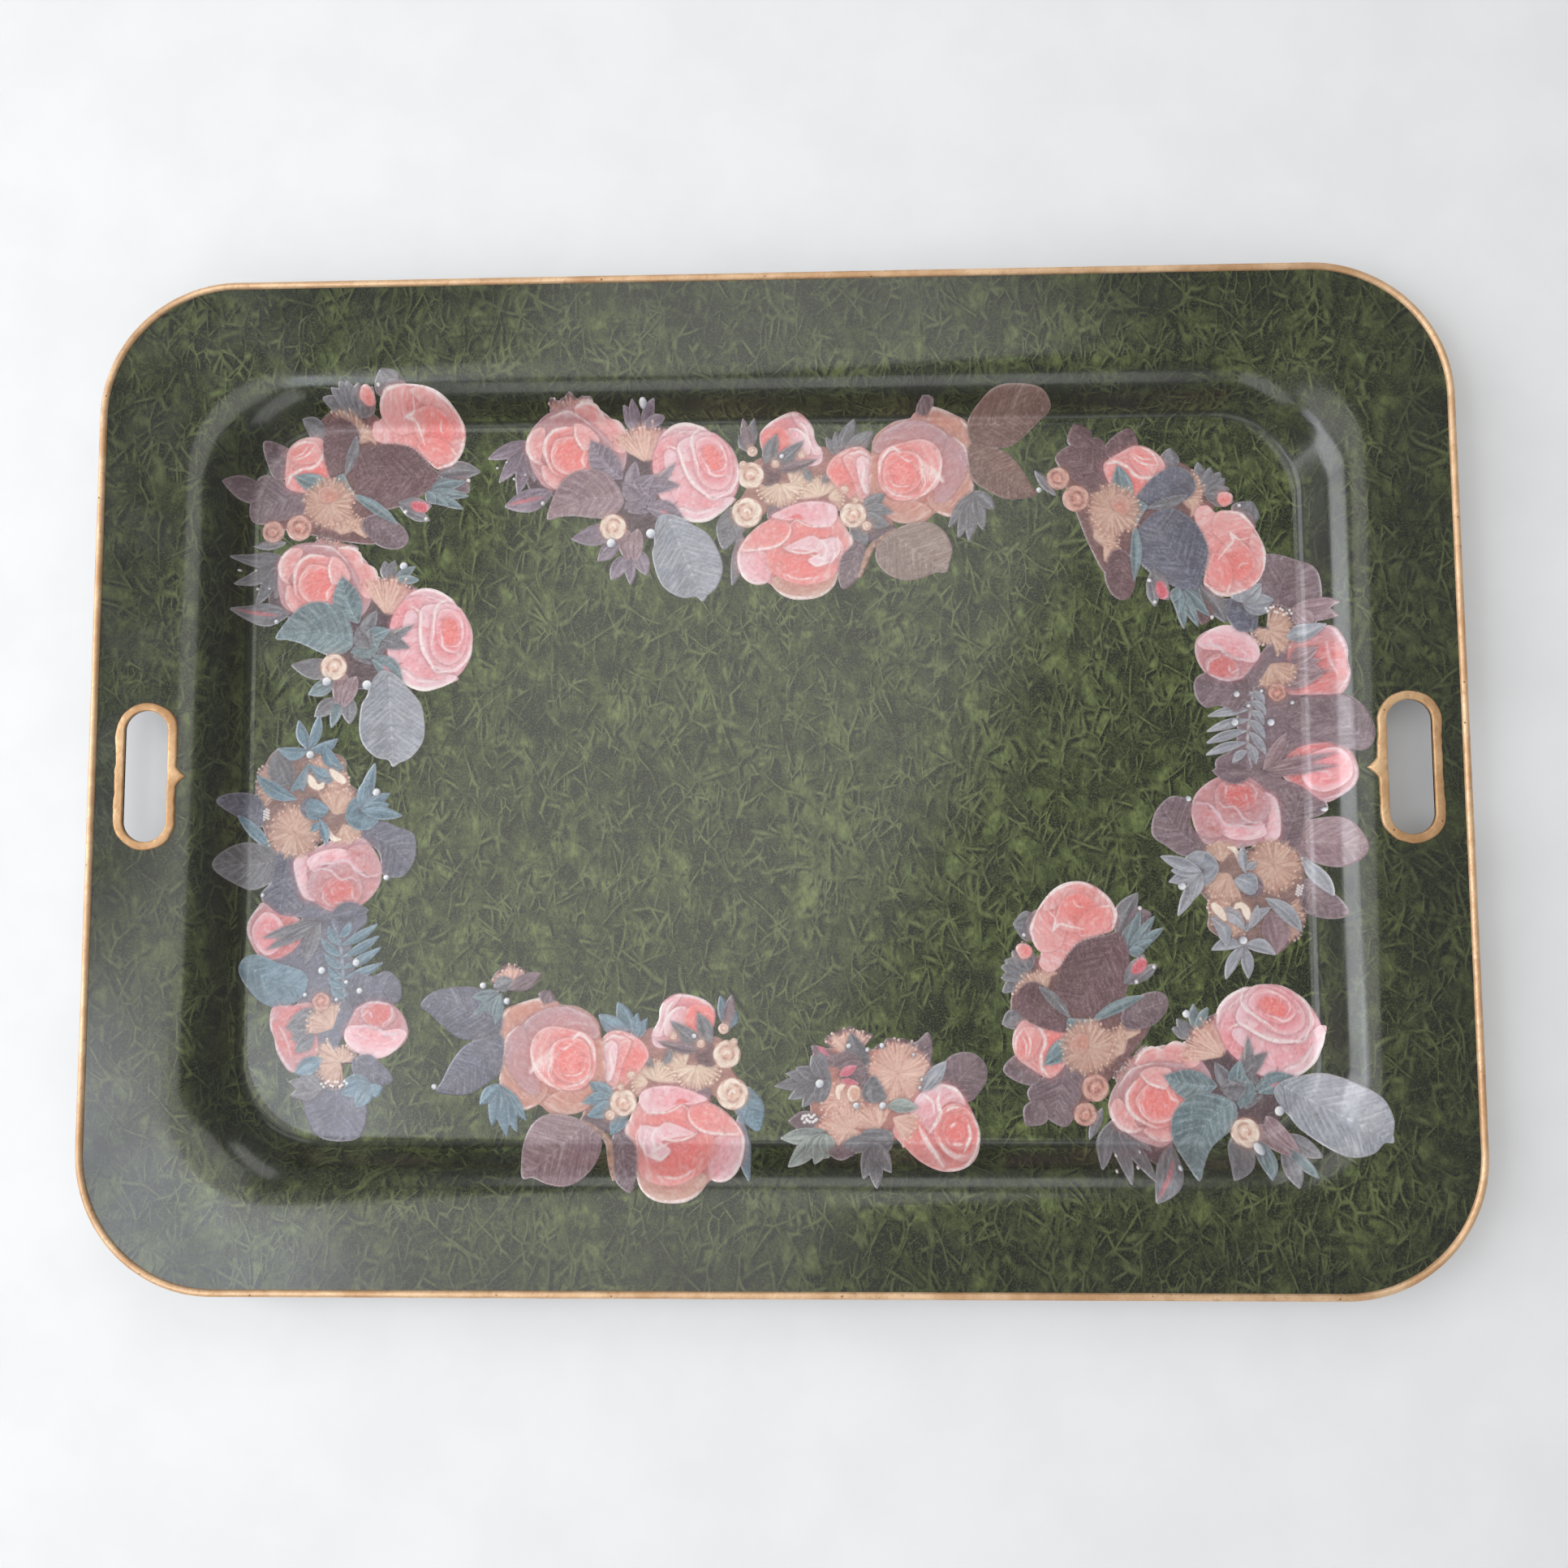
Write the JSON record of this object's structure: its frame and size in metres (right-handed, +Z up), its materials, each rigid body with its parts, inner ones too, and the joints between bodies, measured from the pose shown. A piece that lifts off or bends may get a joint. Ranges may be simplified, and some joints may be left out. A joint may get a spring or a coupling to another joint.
{
  "type": "painted serving tray",
  "caption": "Large round-cornered metal serving tray with a wired gilt edge, hand slots at both ends and a wreath of cut-out paper rose sprays under lacquer.",
  "frame": {"origin": "middle of the underside, on the surface that the tray stands on", "axes": "+X along the length towards one hand slot, +Y across the width, +Z up out of the well"},
  "size_m": [0.686, 0.51, 0.03],
  "materials": {
    "marbled_green_lacquer": "dark olive green marbled paint under gloss lacquer, black underside",
    "worn_gilt": "worn satin gilt",
    "edge_wire": "plain drawn wire, hidden in the edge",
    "printed_paper": "hand-tinted printed paper under gloss lacquer"
  },
  "bodies": {
    "root": {"tray_pan": "marbled_green_lacquer", "rim_binding": "worn_gilt", "rim_wire": "edge_wire", "handle_collar_left": "worn_gilt", "handle_collar_right": "worn_gilt", "cutout_top_left": "printed_paper", "cutout_left_upper": "printed_paper", "cutout_left_lower": "printed_paper", "cutout_top_middle": "printed_paper", "cutout_top_bank": "printed_paper", "cutout_top_right": "printed_paper", "cutout_right": "printed_paper", "cutout_corner_upper": "printed_paper", "cutout_bottom_right": "printed_paper", "cutout_bottom_middle": "printed_paper", "cutout_bottom_left": "printed_paper", "cutout_small_sprig": "printed_paper"}
  },
  "joints": []
}
